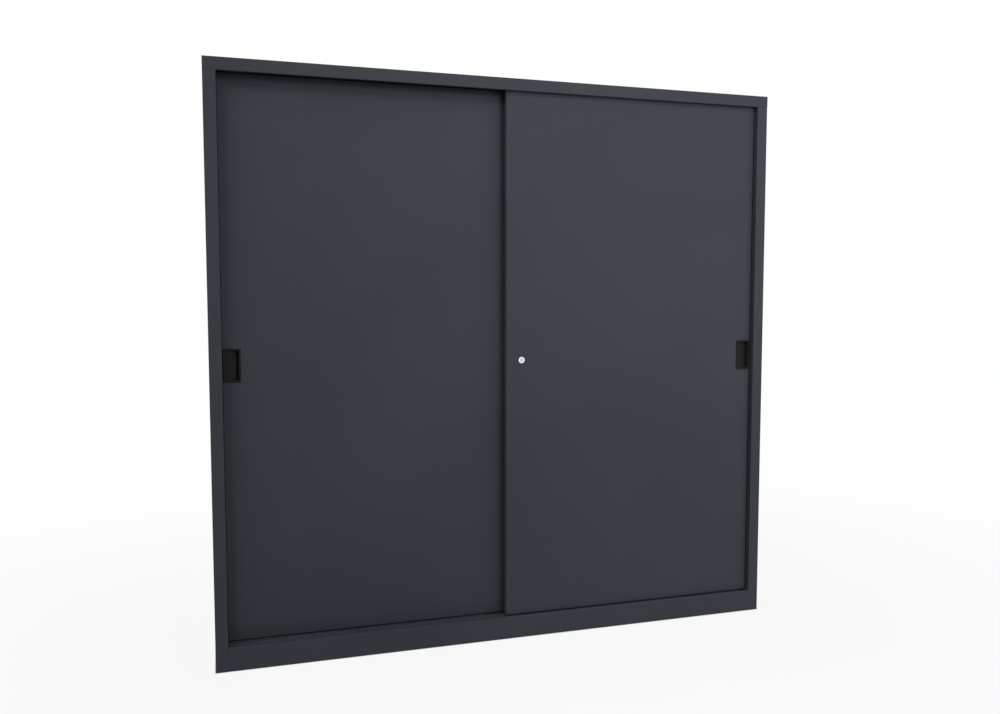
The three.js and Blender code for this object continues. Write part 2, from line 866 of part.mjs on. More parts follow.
// Carcass
const { anthraciteCoat, zincSteel, blackPlastic, blackNylon, darkRubber, brightChrome } = finishes;
add(cabinet, "top_panel", topPanel(), anthraciteCoat);
add(cabinet, "bottom_panel", bottomPanel(), anthraciteCoat);
add(cabinet, "front_plinth", frontPlinth(), anthraciteCoat);
add(cabinet, "upper_guide_track", upperGuideTrack(), anthraciteCoat);
add(cabinet, "lower_track", lowerTrack(), anthraciteCoat);
for (const [name, side] of [["left", -1], ["right", 1]]) {
  add(cabinet, `${name}_side_panel`, sidePanel(side), anthraciteCoat);
  add(cabinet, `${name}_back_panel`, backPanel(side), anthraciteCoat);
  add(cabinet, `${name}_base_rail`, baseRail(side), zincSteel);
  ["front", "rear"].forEach((place, i) => {
    const foot = `${name}_${place}_foot`;
    add(cabinet, foot, levellingFoot(), zincSteel, side * footX, footY[i], 0);
    const upright = `${name}_${place}_upright`;
    add(cabinet, upright, wallUpright(side), anthraciteCoat, 0, uprightY[i], 0);
  });
  const shelfStart = side < 0 ? -uprightFace + seam : postFace + seam;
  for (let i = 0; i < shelvesPerBay; i += 1) {
    const slot = (i + 1) * slotsPerShelf - 1;
    const level = lowestSlot + slot * slotPitch + hookLevel;
    add(cabinet, `${name}_shelf_${i + 1}`, shelf(), anthraciteCoat, shelfStart, 0, level);
  }
}
const [frontPost, rearPost] = [capInside, capBottom - seam].map(partitionPost);
add(cabinet, "partition_front_post", frontPost, anthraciteCoat, 0, uprightFrontY, 0);
add(cabinet, "partition_rear_post", rearPost, anthraciteCoat, 0, uprightRearY, 0);
add(cabinet, "partition_panel", partitionPanel(), anthraciteCoat);

// Doors
const doors = [
  { name: "left", x: rearDoorLeft, setback: rearDoorSetback, pullLeft: pullInset },
  {
    name: "right",
    x: frontDoorLeft,
    setback: frontDoorSetback,
    pullLeft: doorWidth - pullInset - pullWidth,
    lockLeft: lockInset,
  },
];
for (const { name, x, setback, pullLeft, lockLeft } of doors) {
  const door = group(cabinet, x, front + setback, doorBottom);
  add(door, `${name}_door_panel`, doorPanel(pullLeft, lockLeft), anthraciteCoat);
  add(door, `${name}_door_stiffener`, doorStiffener(), zincSteel, doorWidth / 2, 0, 0);
  add(door, `${name}_pull`, pull(), blackPlastic, pullLeft, 0, pullFoot);
  guidePlaces.forEach((place, i) => {
    add(door, `${name}_top_guide_${i + 1}`, topGuide(), blackNylon, place, doorMiddle, 0);
  });
  rollerPlaces.forEach((place, i) => {
    add(door, `${name}_roller_bracket_${i + 1}`, rollerBracket(), zincSteel, place, doorMiddle, 0);
    add(door, `${name}_roller_axle_${i + 1}`, rollerAxle(), zincSteel, place, doorMiddle, axleInDoor);
    add(door, `${name}_roller_${i + 1}`, roller(), blackNylon, place, doorMiddle, axleInDoor);
  });
  if (lockLeft) {
    const lock = group(door, lockLeft, 0, lockLevel - doorBottom);
    add(lock, "lock_housing", lockHousing(), brightChrome);
    add(lock, "lock_nut", lockNut(), zincSteel);
    add(lock, "lock_plug", lockPlug(), brightChrome);
    add(lock, "lock_cam", lockCam(), zincSteel);
    add(lock, "lock_cam_screw", camScrew(), zincSteel);
  } else {
    add(door, "lock_strike", lockStrike(), zincSteel);
  }
}

// Travel stops: a door's guide farthest along its way meets the stop when the door stands open
const guideReach = tongueLength / 2 + stopPlay - guideInset;
const rearStop = rearDoorLeft + doorWidth + guideReach + doorTravel;
const frontStop = frontDoorLeft - guideReach - doorTravel - stopLength;
add(cabinet, "rear_travel_stop", travelStop(), darkRubber, rearStop, doorCentres[1], 0);
add(cabinet, "front_travel_stop", travelStop(), darkRubber, frontStop, doorCentres[0], 0);

export default cabinet;
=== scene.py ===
"""Looks of a steel sliding door cabinet: its finishes, fine pieces, floor, light and camera.

Lengths are metres in the cabinet's own frame. X runs to the right, Y to the back and Z up, the
origin is on the floor under the middle of the cabinet, and the front faces -Y.
"""

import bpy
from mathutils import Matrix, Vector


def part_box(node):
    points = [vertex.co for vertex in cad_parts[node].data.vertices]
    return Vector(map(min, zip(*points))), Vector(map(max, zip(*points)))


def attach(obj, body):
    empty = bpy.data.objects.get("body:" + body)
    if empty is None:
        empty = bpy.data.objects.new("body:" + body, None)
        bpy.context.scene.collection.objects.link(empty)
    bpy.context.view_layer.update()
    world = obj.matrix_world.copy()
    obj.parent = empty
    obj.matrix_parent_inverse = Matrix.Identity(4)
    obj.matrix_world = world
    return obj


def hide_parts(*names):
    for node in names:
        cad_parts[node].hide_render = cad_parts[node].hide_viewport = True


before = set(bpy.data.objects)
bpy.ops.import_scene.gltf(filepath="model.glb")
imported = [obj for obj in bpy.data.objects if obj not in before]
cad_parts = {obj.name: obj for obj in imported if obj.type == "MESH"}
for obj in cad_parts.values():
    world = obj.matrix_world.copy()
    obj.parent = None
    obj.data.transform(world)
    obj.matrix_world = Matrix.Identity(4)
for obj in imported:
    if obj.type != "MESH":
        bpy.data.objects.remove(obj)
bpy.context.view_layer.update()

import logging
import math
from dataclasses import dataclass, field
from enum import Enum
from typing import Iterable, Sequence

import bmesh
import bpy
from mathutils import Matrix, Vector

log = logging.getLogger("cabinet")

MM = 0.001
Pair = tuple[float, float]
Point = tuple[float, float, float]
WHITE = (1.0, 1.0, 1.0, 1.0)


class Slot(Enum):
    """Material slots that the pieces take their finish from."""

    CARCASS_COAT = "carcass_coat"
    DOOR_COAT = "door_coat"
    ZINC_STEEL = "zinc_steel"
    BLACK_PLASTIC = "black_plastic"
    BLACK_NYLON = "black_nylon"
    DARK_RUBBER = "dark_rubber"
    BRIGHT_CHROME = "bright_chrome"


class Axis(Enum):
    """Axes that a round piece is turned on, with the turn from Z to each."""

    Y = Matrix.Rotation(-math.pi / 2, 4, "X")
    Z = Matrix.Identity(4)


def linear(code: str) -> tuple[float, float, float, float]:
    """Turn a colour code into the linear colour that a shader socket takes.

    Args:
        code: A colour such as "#3f4347".

    Returns:
        Red, green, blue and alpha.
    """
    shares = [int(code[i : i + 2], 16) / 255 for i in (1, 3, 5)]
    red, green, blue = (
        share / 12.92 if share <= 0.04045 else ((share + 0.055) / 1.055) ** 2.4
        for share in shares
    )
    return (red, green, blue, 1.0)


def sums(
    tree: bpy.types.ShaderNodeTree, operation: str, *terms: bpy.types.NodeSocket | float
) -> bpy.types.NodeSocket:
    """Add a math node to a tree.

    Args:
        tree: The node tree.
        operation: What the node does.
        *terms: The values that it works on.

    Returns:
        The result.
    """
    node = tree.nodes.new("ShaderNodeMath")
    node.operation = operation
    for socket, term in zip(node.inputs, terms):
        if isinstance(term, float):
            socket.default_value = term
        else:
            tree.links.new(term, socket)
    return node.outputs[0]


def spread(
    tree: bpy.types.ShaderNodeTree, source: bpy.types.NodeSocket, span: Pair, result: Pair
) -> bpy.types.NodeSocket:
    """Map one span of values to another, held at both ends.

    Args:
        tree: The node tree.
        source: The value to map.
        span: The values between which it is mapped.
        result: What they become.

    Returns:
        The mapped value.
    """
    node = tree.nodes.new("ShaderNodeMapRange")
    values = {"From Min": span[0], "From Max": span[1], "To Min": result[0], "To Max": result[1]}
    for name, value in values.items():
        node.inputs[name].default_value = value
    tree.links.new(source, node.inputs["Value"])
    return node.outputs["Result"]


class ShaderSheet:
    """One material's node tree, with a method for each kind of node that the finishes use."""

    def __init__(self, name: str) -> None:
        """Start a material that holds only its surface shader.

        Args:
            name: The material's name.
        """
        self.material = bpy.data.materials.new(name)
        self.material.use_nodes = True
        self.tree = self.material.node_tree
        self.nodes = self.tree.nodes
        self.links = self.tree.links
        self.shader = self.nodes["Principled BSDF"]
        self.place = self.nodes.new("ShaderNodeTexCoord").outputs["Object"]

    def set(self, **values: float) -> None:
        """Set constant values on the surface shader's own sockets.

        Args:
            **values: Socket names in lower case with underscores, and their values.
        """
        for name, value in values.items():
            socket = name.replace("_", " ").title().replace("Ior", "IOR")
            self.shader.inputs[socket].default_value = value

    def link(self, source: bpy.types.NodeSocket, socket: str) -> None:
        """Link a node's output to one of the surface shader's sockets."""
        self.links.new(source, self.shader.inputs[socket])

    def stretched(self, scale: Point) -> bpy.types.NodeSocket:
        """Give the surface coordinates stretched by a scale along each axis."""
        mapping = self.nodes.new("ShaderNodeMapping")
        mapping.inputs["Scale"].default_value = scale
        self.links.new(self.place, mapping.inputs["Vector"])
        return mapping.outputs["Vector"]

    def noise(
        self, size: float, detail: float = 2.0, place: bpy.types.NodeSocket | None = None
    ) -> bpy.types.NodeSocket:
        """Add a noise whose patches are about as large as a given size.

        Args:
            size: The size of a patch in metres.
            detail: How many finer layers the noise has.
            place: Coordinates to use in place of the surface's own.

        Returns:
            The noise's value, around one half.
        """
        node = self.nodes.new("ShaderNodeTexNoise")
        node.inputs["Scale"].default_value = 1 / size
        node.inputs["Detail"].default_value = detail
        self.links.new(place or self.place, node.inputs["Vector"])
        return node.outputs["Fac"]

    def cells(self, size: float) -> bpy.types.NodeSocket:
        """Add crystal-like cells of a given size in metres and give their random colour."""
        node = self.nodes.new("ShaderNodeTexVoronoi")
        node.inputs["Scale"].default_value = 1 / size
        self.links.new(self.place, node.inputs["Vector"])
        return node.outputs["Color"]

    def spread(
        self, source: bpy.types.NodeSocket, span: Pair, result: Pair
    ) -> bpy.types.NodeSocket:
        """Map one span of values to another, held at both ends."""
        return spread(self.tree, source, span, result)

    def product(
        self, first: bpy.types.NodeSocket, second: bpy.types.NodeSocket
    ) -> bpy.types.NodeSocket:
        """Multiply two values."""
        return sums(self.tree, "MULTIPLY", first, second)

    def blend(
        self,
        share: bpy.types.NodeSocket,
        first: bpy.types.NodeSocket | str,
        second: bpy.types.NodeSocket | str,
    ) -> bpy.types.NodeSocket:
        """Mix two colours by a share.

        Args:
            share: 0 for the first colour and 1 for the second.
            first: A socket or a colour code.
            second: A socket or a colour code.

        Returns:
            The mixed colour.
        """
        node = self.nodes.new("ShaderNodeMix")
        node.data_type = "RGBA"
        self.links.new(share, node.inputs[0])
        for socket, colour in ((node.inputs[6], first), (node.inputs[7], second)):
            if isinstance(colour, str):
                socket.default_value = linear(colour)
            else:
                self.links.new(colour, socket)
        return node.outputs[2]

    def edges(self, radius: float) -> bpy.types.NodeSocket:
        """Find the edges of a piece.

        Args:
            radius: How far an edge's influence reaches in metres.

        Returns:
            0 on a flat face, rising towards 1 on an edge.
        """
        rounded = self.nodes.new("ShaderNodeBevel")
        rounded.samples = 4
        rounded.inputs["Radius"].default_value = radius
        geometry = self.nodes.new("ShaderNodeNewGeometry")
        dot = self.nodes.new("ShaderNodeVectorMath")
        dot.operation = "DOT_PRODUCT"
        self.links.new(rounded.outputs["Normal"], dot.inputs[0])
        self.links.new(geometry.outputs["Normal"], dot.inputs[1])
        return self.spread(dot.outputs["Value"], (0.995, 0.8), (0.0, 1.0))

    def bump(
        self,
        height: bpy.types.NodeSocket,
        distance: float,
        strength: float,
        under: bpy.types.NodeSocket | None = None,
    ) -> bpy.types.NodeSocket:
        """Add a bump, over another one if that is given.

        Args:
            height: The height as a share.
            distance: The full height in metres.
            strength: How much of it counts.
            under: The normal of the bump beneath.

        Returns:
            The bumped normal.
        """
        node = self.nodes.new("ShaderNodeBump")
        node.inputs["Distance"].default_value = distance
        node.inputs["Strength"].default_value = strength
        self.links.new(height, node.inputs["Height"])
        if under is not None:
            self.links.new(under, node.inputs["Normal"])
        return node.outputs["Normal"]


@dataclass(frozen=True)
class Finish:
    """A finish of one or more pieces."""

    name: str
    colour: str

    def make(self) -> bpy.types.Material:
        """Build the finish as a material; each kind of finish has its own."""
        raise NotImplementedError


@dataclass(frozen=True)
class PowderCoat(Finish):
    """Matt powder coat on steel: fine orange peel, faint mottling, and lighter edges that are
    partly wear and partly a painted highlight.
    """

    light_colour: str = "#45494f"
    # Edge colour: partly wear, partly a painted highlight of light catching the folds.
    wear_and_highlight_colour: str = "#777c82"
    roughness: Pair = (0.47, 0.56)
    grain: float = 1.4 * MM
    grain_height: float = 0.05 * MM
    grain_strength: float = 0.3
    waviness: float = 0.42
    waviness_height: float = 0.5 * MM
    waviness_strength: float = 0.35
    mottling: float = 0.35
    fine_mottling: float = 9 * MM
    edge_radius: float = 0.9 * MM
    wear_and_highlight_patch: float = 28 * MM
    wear_and_highlight_share: Pair = (0.2, 1.0)
    specular: float = 0.15

    def make(self) -> bpy.types.Material:
        """Build the coat as a material.

        Returns:
            The material.
        """
        sheet = ShaderSheet(self.name)
        broad = sheet.spread(sheet.noise(self.mottling, detail=3), (0.3, 0.7), (0.0, 1.0))
        fine = sheet.noise(self.fine_mottling, detail=4)
        cloud = sheet.product(broad, sheet.spread(fine, (0.35, 0.65), (0.55, 1.0)))
        coat = sheet.blend(cloud, self.colour, self.light_colour)
        # Lighter edges in patches: partly wear, partly a painted highlight where the folds would
        # catch the light.
        wear_and_highlight_noise = sheet.noise(self.wear_and_highlight_patch, detail=4)
        wear_and_highlight_patches = sheet.spread(wear_and_highlight_noise, (0.36, 0.62), self.wear_and_highlight_share)
        wear_and_highlight = sheet.product(sheet.edges(self.edge_radius), wear_and_highlight_patches)
        sheet.link(sheet.blend(wear_and_highlight, coat, self.wear_and_highlight_colour), "Base Color")
        sheet.link(sheet.spread(fine, (0.3, 0.7), self.roughness), "Roughness")
        sheet.set(metallic=0.0, specular_ior_level=self.specular)
        swell = sheet.noise(self.waviness, detail=1)
        wave = sheet.bump(swell, self.waviness_height, self.waviness_strength)
        grain = sheet.noise(self.grain, detail=2)
        peel = sheet.bump(grain, self.grain_height, self.grain_strength, wave)
        sheet.link(peel, "Normal")
        return sheet.material


@dataclass(frozen=True)
class ZincPlate(Finish):
    """Zinc plated steel with faint crystals and rubbed edges."""

    dull_colour: str = "#8b9093"
    rubbed_colour: str = "#d4d8da"
    roughness: Pair = (0.3, 0.46)
    crystal: float = 5 * MM
    tarnish: float = 35 * MM
    edge_radius: float = 0.6 * MM
    scratch: float = 0.5 * MM
    scratch_run: Point = (1.0, 1.0, 0.08)
    scratch_depth: float = 0.02 * MM
    scratch_strength: float = 0.25

    def make(self) -> bpy.types.Material:
        """Build the plating as a material.

        Returns:
            The material.
        """
        sheet = ShaderSheet(self.name)
        crystals = sheet.spread(sheet.cells(self.crystal), (0.0, 1.0), (0.0, 0.55))
        tarnish = sheet.noise(self.tarnish, detail=4)
        mixed = sheet.blend(crystals, self.colour, self.dull_colour)
        rubbed = sheet.product(sheet.edges(self.edge_radius), tarnish)
        sheet.link(sheet.blend(rubbed, mixed, self.rubbed_colour), "Base Color")
        sheet.link(sheet.spread(tarnish, (0.35, 0.65), self.roughness), "Roughness")
        sheet.set(metallic=1.0)
        lines = sheet.noise(self.scratch, detail=2, place=sheet.stretched(self.scratch_run))
        sheet.link(sheet.bump(lines, self.scratch_depth, self.scratch_strength), "Normal")
        return sheet.material


@dataclass(frozen=True)
class Moulding(Finish):
    """Moulded plastic or rubber with a fine spark-eroded texture."""

    rubbed_colour: str = "#2c2c2d"
    roughness: Pair = (0.42, 0.55)
    specular: float = 0.3
    texture: float = 0.45 * MM
    texture_height: float = 0.04 * MM
    texture_strength: float = 0.4
    cloud: float = 14 * MM
    edge_radius: float = 0.7 * MM

    def make(self) -> bpy.types.Material:
        """Build the moulding as a material.

        Returns:
            The material.
        """
        sheet = ShaderSheet(self.name)
        cloud = sheet.noise(self.cloud, detail=4)
        edges = sheet.edges(self.edge_radius)
        rubbed = sheet.product(edges, sheet.spread(cloud, (0.3, 0.7), (0.2, 0.9)))
        sheet.link(sheet.blend(rubbed, self.colour, self.rubbed_colour), "Base Color")
        sheet.link(sheet.spread(cloud, (0.3, 0.7), self.roughness), "Roughness")
        sheet.set(metallic=0.0, specular_ior_level=self.specular)
        grain = sheet.noise(self.texture, detail=1)
        sheet.link(sheet.bump(grain, self.texture_height, self.texture_strength), "Normal")
        return sheet.material


@dataclass(frozen=True)
class ChromePlate(Finish):
    """Bright chrome plating with the finest of wiping marks."""

    bright_colour: str = "#f2f3f4"
    cloud: float = 3 * MM
    marks: float = 0.8 * MM
    marks_run: Point = (0.15, 1.0, 1.0)
    marks_depth: float = 0.01 * MM
    marks_strength: float = 0.2
    roughness: Pair = (0.08, 0.2)

    def make(self) -> bpy.types.Material:
        """Build the plating as a material.

        Returns:
            The material.
        """
        sheet = ShaderSheet(self.name)
        cloud = sheet.noise(self.cloud, detail=3)
        sheet.link(sheet.blend(cloud, self.colour, self.bright_colour), "Base Color")
        sheet.link(sheet.spread(cloud, (0.35, 0.7), self.roughness), "Roughness")
        sheet.set(metallic=1.0)
        lines = sheet.noise(self.marks, detail=2, place=sheet.stretched(self.marks_run))
        sheet.link(sheet.bump(lines, self.marks_depth, self.marks_strength), "Normal")
        return sheet.material


class FinishRack:
    """The cabinet's finishes, each built once, by the material slot that it belongs to."""

    def __init__(self) -> None:
        """Build all the finishes."""
        kinds = {
            Slot.CARCASS_COAT: PowderCoat("carcass_powder_coat", "#40444a"),
            Slot.DOOR_COAT: PowderCoat("door_powder_coat", "#40444a", mottling=0.5),
            Slot.ZINC_STEEL: ZincPlate("zinc_plated_steel", "#b3b8ba"),
            Slot.BLACK_PLASTIC: Moulding("black_moulded_plastic", "#2a2a2a", specular=0.05),
            Slot.BLACK_NYLON: Moulding("black_nylon", "#1c1c1d", "#2b2b2c", (0.36, 0.48), 0.4),
            Slot.DARK_RUBBER: Moulding("dark_rubber", "#1b1b1b", "#2a2a2a", (0.75, 0.9), 0.2),
            Slot.BRIGHT_CHROME: ChromePlate("bright_chrome_plate", "#e3e5e8"),
        }
        self.materials = {slot: finish.make() for slot, finish in kinds.items()}
        self.ground_weld = PowderCoat("ground_weld_coat", "#40444a", edge_radius=0.0).make()

    def __getitem__(self, slot: Slot) -> bpy.types.Material:
        """Give the material of a slot."""
        return self.materials[slot]


def arc(centre: Pair, radius: float, start: float, end: float, steps: int) -> list[Pair]:
    """Give points along an arc, both ends included.

    Args:
        centre: The arc's centre.
        radius: Its radius.
        start: The angle of its first point in degrees.
        end: The angle of its last point in degrees.
        steps: How many straight runs it has.

    Returns:
        The points.
    """
    angles = [math.radians(start + (end - start) * i / steps) for i in range(steps + 1)]
    return [(centre[0] + radius * math.cos(a), centre[1] + radius * math.sin(a)) for a in angles]


def mirrored(profile: Sequence[Pair]) -> list[Pair]:
    """Complete the half of a hollow profile with its mirror image and close it."""
    return [*profile, *((radius, -place) for radius, place in reversed(profile)), profile[0]]


def add_object(name: str, data: bpy.types.ID) -> bpy.types.Object:
    """Make an object of a mesh, a lamp or a camera and link it into the scene.

    Args:
        name: The object's name.
        data: What it holds.

    Returns:
        The object.
    """
    made = bpy.data.objects.new(name, data)
    bpy.context.scene.collection.objects.link(made)
    return made


class Draft:
    """A closed mesh under construction in the cabinet's frame."""

    def __init__(self) -> None:
        """Start with nothing."""
        self.mesh = bmesh.new()

    def ring(self, points: Iterable[Point]) -> list[bmesh.types.BMVert]:
        """Add a row of points and give them as a list."""
        return [self.mesh.verts.new(point) for point in points]

    def bridge(
        self, first: list[bmesh.types.BMVert], second: list[bmesh.types.BMVert], closed: bool = True
    ) -> None:
        """Join two rows of as many points each with faces.

        Args:
            first: One row.
            second: The other.
            closed: Whether the rows run round to their start.
        """
        count = len(first)
        for i in range(count if closed else count - 1):
            j = (i + 1) % count
            corners = [first[i], first[j], second[j], second[i]]
            unique = list(dict.fromkeys(corners))
            if len(unique) > 2:
                self.mesh.faces.new(unique)

    def bar(self, near: Iterable[Point], far: Iterable[Point]) -> None:
        """Make a solid bar between two ends of as many corners each.

        Args:
            near: The corners of one end.
            far: The corners of the other.
        """
        ends = [self.ring(near), self.ring(far)]
        self.bridge(*ends)
        for end in ends:
            self.mesh.faces.new(end)

    def turn(
        self, profile: Sequence[Pair], centre: Point, axis: Axis, sides: int, phase: float = 0.0
    ) -> None:
        """Turn a profile into a round solid.

        Args:
            profile: Radius and place along the axis, from point to point. It starts and ends on
                the axis, or closes on itself round a bore.
            centre: Where the place 0 lies.
            axis: The axis that it turns on.
            sides: How many sides the round has.
            phase: The angle of the first side's corner in degrees.
        """
        frame_of_turn = Matrix.Translation(centre) @ axis.value
        rings = []
        for radius, place in profile:
            if radius == 0:
                tip = self.mesh.verts.new(frame_of_turn @ Vector((0, 0, place)))
                rings.append([tip] * sides)
                continue
            angles = [math.radians(phase) + 2 * math.pi * i / sides for i in range(sides)]
            spots = [Vector((radius * math.cos(a), radius * math.sin(a), place)) for a in angles]
            rings.append(self.ring(frame_of_turn @ spot for spot in spots))
        if profile[0] == profile[-1]:
            for vertex in rings.pop():
                if vertex not in rings[0]:
                    self.mesh.verts.remove(vertex)
            rings.append(rings[0])
        for first, second in zip(rings, rings[1:]):
            self.bridge(first, second)

    def settle(
        self, name: str, material: bpy.types.Material, crease: float = 32
    ) -> bpy.types.Object:
        """Turn the draft into an object of the scene.

        Args:
            name: The piece's name.
            material: Its finish.
            crease: The angle in degrees above which an edge stays sharp.

        Returns:
            The object.
        """
        bmesh.ops.recalc_face_normals(self.mesh, faces=self.mesh.faces)
        data = bpy.data.meshes.new(name)
        self.mesh.to_mesh(data)
        self.mesh.free()
        data.shade_smooth()
        data.set_sharp_from_angle(angle=math.radians(crease))
        data.materials.append(material)
        return add_object(name, data)


def mount_piece(piece: bpy.types.Object, body: str, slot: Slot, *nodes: str) -> None:
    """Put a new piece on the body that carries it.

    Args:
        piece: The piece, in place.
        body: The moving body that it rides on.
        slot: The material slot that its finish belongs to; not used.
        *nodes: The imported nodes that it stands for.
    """
    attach(piece, body)
    if nodes:
        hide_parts(*nodes)
    log.info("%s rides on %s", piece.name, body)


@dataclass
class SheetMetalwork:
    """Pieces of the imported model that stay, with softened edges and a finish."""

    rack: FinishRack
    weld: float = 0.01 * MM
    crease: float = 28
    fitting_edge: float = 0.35 * MM

    def dress(self, names: Iterable[str], slot: Slot, edge: float, steps: int = 2) -> None:
        """Give pieces their finish and soften their edges.

        Args:
            names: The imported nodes.
            slot: The slot whose finish they get.
            edge: How wide the softened edge is in metres.
            steps: How many facets the softened edge has.
        """
        for name in names:
            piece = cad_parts[name]
            for holder in piece.material_slots:
                holder.material = self.rack[slot]
            for polygon in piece.data.polygons:
                polygon.use_smooth = True
            weld = piece.modifiers.new("weld", "WELD")
            weld.merge_threshold = self.weld
            soften = piece.modifiers.new("soften", "BEVEL")
            soften.width = edge
            soften.segments = steps
            soften.limit_method = "ANGLE"
            soften.angle_limit = math.radians(self.crease)
            even = piece.modifiers.new("even", "WEIGHTED_NORMAL")
            even.keep_sharp = True
            log.info("%s dressed in %s", name, slot.value)


@dataclass
class Carcass:
    """The cabinet's body: sides, top, plinth, back, tracks, partition and shelves."""

    rack: FinishRack
    sides: tuple[str, str] = ("left", "right")
    shelves: int = 4
    sheet_edge: float = 0.22 * MM
    heavy_edge: float = 0.4 * MM
    rivet_radius: float = 3.0 * MM
    rivet_height: float = 0.9 * MM
    rivet_pitch: float = 0.19
    rivet_inset: float = 6.5 * MM
    rivet_sides: int = 20
    dome_angles: tuple[float, ...] = (0, 0.5, 0.9, 1.25, 1.5)
    stop_edge: float = 1.2 * MM
    weld_depth: float = 1.0 * MM
    weld_reach: float = 0.2 * MM
    weld_hollow: float = 0.02 * MM
    sealant: float = 2.5 * MM

    def dress(self) -> None:
        """Give the fixed sheet pieces their coats."""
        work = SheetMetalwork(self.rack)
        sheets = ["top_panel", "bottom_panel", "front_plinth", "upper_guide_track"]
        sheets += ["lower_track", "partition_panel"]
        for side in self.sides:
            sheets += [f"{side}_side_panel", f"{side}_back_panel"]
            sheets += [f"{side}_shelf_{i + 1}" for i in range(self.shelves)]
        work.dress(sheets, Slot.CARCASS_COAT, self.sheet_edge)
        posts = ["partition_front_post", "partition_rear_post"]
        posts += [f"{side}_{end}_upright" for side in self.sides for end in ("front", "rear")]
        work.dress(posts, Slot.CARCASS_COAT, self.heavy_edge)
        work.dress([f"{side}_base_rail" for side in self.sides], Slot.ZINC_STEEL, self.heavy_edge)
        stops = ["rear_travel_stop", "front_travel_stop"]
        work.dress(stops, Slot.DARK_RUBBER, self.stop_edge, steps=3)

    def build_rivets(self) -> None:
        """Set blind rivets through the back panels into the rear partition post."""
        low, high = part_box("left_back_panel")
        draft = Draft()
        radius, height = self.rivet_radius, self.rivet_height
        dome = [(radius * math.sin(a), height * math.cos(a)) for a in self.dome_angles]
        profile = [*dome, (radius, 0.0), (0.0, 0.0)]
        count = int((high.z - low.z) / self.rivet_pitch)
        start = (low.z + high.z - (count - 1) * self.rivet_pitch) / 2
        for x in (-self.rivet_inset, self.rivet_inset):
            for i in range(count):
                spot = (x, high.y, start + i * self.rivet_pitch)
                draft.turn(profile, spot, Axis.Y, self.rivet_sides)
        rivets = draft.settle("back_panel_rivets", self.rack[Slot.ZINC_STEEL])
        mount_piece(rivets, "carcass", Slot.ZINC_STEEL)

    def build_welds(self) -> None:
        """Fill the joint between the plinth and each stile with a weld ground flush."""
        low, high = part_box("front_plinth")
        stiles = (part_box("left_side_panel")[1].x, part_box("right_side_panel")[0].x)
        draft = Draft()
        for first, second in ((stiles[0], low.x), (high.x, stiles[1])):
            left, right = first - self.weld_reach, second + self.weld_reach
            edge = low.y + self.weld_hollow
            root = low.y + self.weld_depth
            crown = ((left + right) / 2, low.y)
            section = ((left, edge), crown, (right, edge), (right, root), (left, root))
            near, far = ([(x, y, z) for x, y in section] for z in (low.z, high.z))
            draft.bar(near, far)
        welds = draft.settle("plinth_corner_welds", self.rack.ground_weld)
        mount_piece(welds, "carcass", Slot.CARCASS_COAT)

    def build_sealant(self) -> None:
        """Run a bead of sealant along the joint between the back panels and the lip above."""
        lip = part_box("top_panel")[0].z
        draft = Draft()
        for side in self.sides:
            low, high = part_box(f"{side}_back_panel")
            hollow = arc((low.y - self.sealant, lip - self.sealant), self.sealant, 0, 90, 5)
            section = [*hollow, (low.y, lip)]
            near, far = ([(x, y, z) for y, z in section] for x in (low.x, high.x))
            draft.bar(near, far)
        bead = draft.settle("back_panel_sealant", self.rack[Slot.DARK_RUBBER], crease=40)
        mount_piece(bead, "carcass", Slot.DARK_RUBBER)


@dataclass
class LevellingFoot:
    """A foot with a round pad, a threaded stem and a hexagon collar."""

    rack: FinishRack
    name: str
    pad_radius: float = 16 * MM
    pad_height: float = 6 * MM
    pad_edge: float = 1.2 * MM
    pad_side: float = 3 * MM
    pad_slope: Pair = (3 * MM, 1.6 * MM)
    neck: float = 2.5 * MM
    sides: int = 32
    stem_radius: float = 3.9 * MM
    thread_pitch: float = 1.25 * MM
    thread_depth: float = 0.55 * MM
    thread_shares: tuple[float, ...] = (0.2, 0.55, 0.9)
    collar_radius: float = 7.8 * MM
    collar_edge: float = 0.7 * MM
    collar_height: float = 6 * MM
    collar_drop: float = 8.3 * MM
    crease: float = 24

    def build(self) -> None:
        """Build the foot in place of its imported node."""
        low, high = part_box(self.name)
        centre = ((low.x + high.x) / 2, (low.y + high.y) / 2, 0.0)
        outer, edge, side = self.pad_radius, self.pad_edge, self.pad_side
        crest, root = self.stem_radius, self.stem_radius - self.thread_depth
        pad, slope = self.pad_height, self.pad_slope
        draft = Draft()
        profile = [(0.0, 0.0), (outer - edge, 0.0)]
        profile += arc((outer - edge, edge), edge, -90, 0, 3)[1:]
        profile += [(outer, side), (outer - slope[0], side + slope[1])]
        profile += [(crest + self.neck, pad), (crest, pad)]
        for i in range(int((high.z - pad) / self.thread_pitch) - 1):
            for radius, share in zip((crest, root, crest), self.thread_shares):
                profile.append((radius, pad + (i + share) * self.thread_pitch))
        profile += [(root, high.z), (0.0, high.z)]
        draft.turn(profile, centre, Axis.Z, self.sides)
        corner, edge, height = self.collar_radius, self.collar_edge, self.collar_height
        collar = [(root, 0.0), (corner - edge, 0.0), (corner, edge), (corner, height - edge)]
        collar += [(corner - edge, height), (root, height), (root, 0.0)]
        seat = (*centre[:2], high.z - self.collar_drop)
        draft.turn(collar, seat, Axis.Z, sides=6, phase=30)
        foot = draft.settle(f"{self.name}_threaded", self.rack[Slot.ZINC_STEEL], self.crease)
        mount_piece(foot, "carcass", Slot.ZINC_STEEL, self.name)


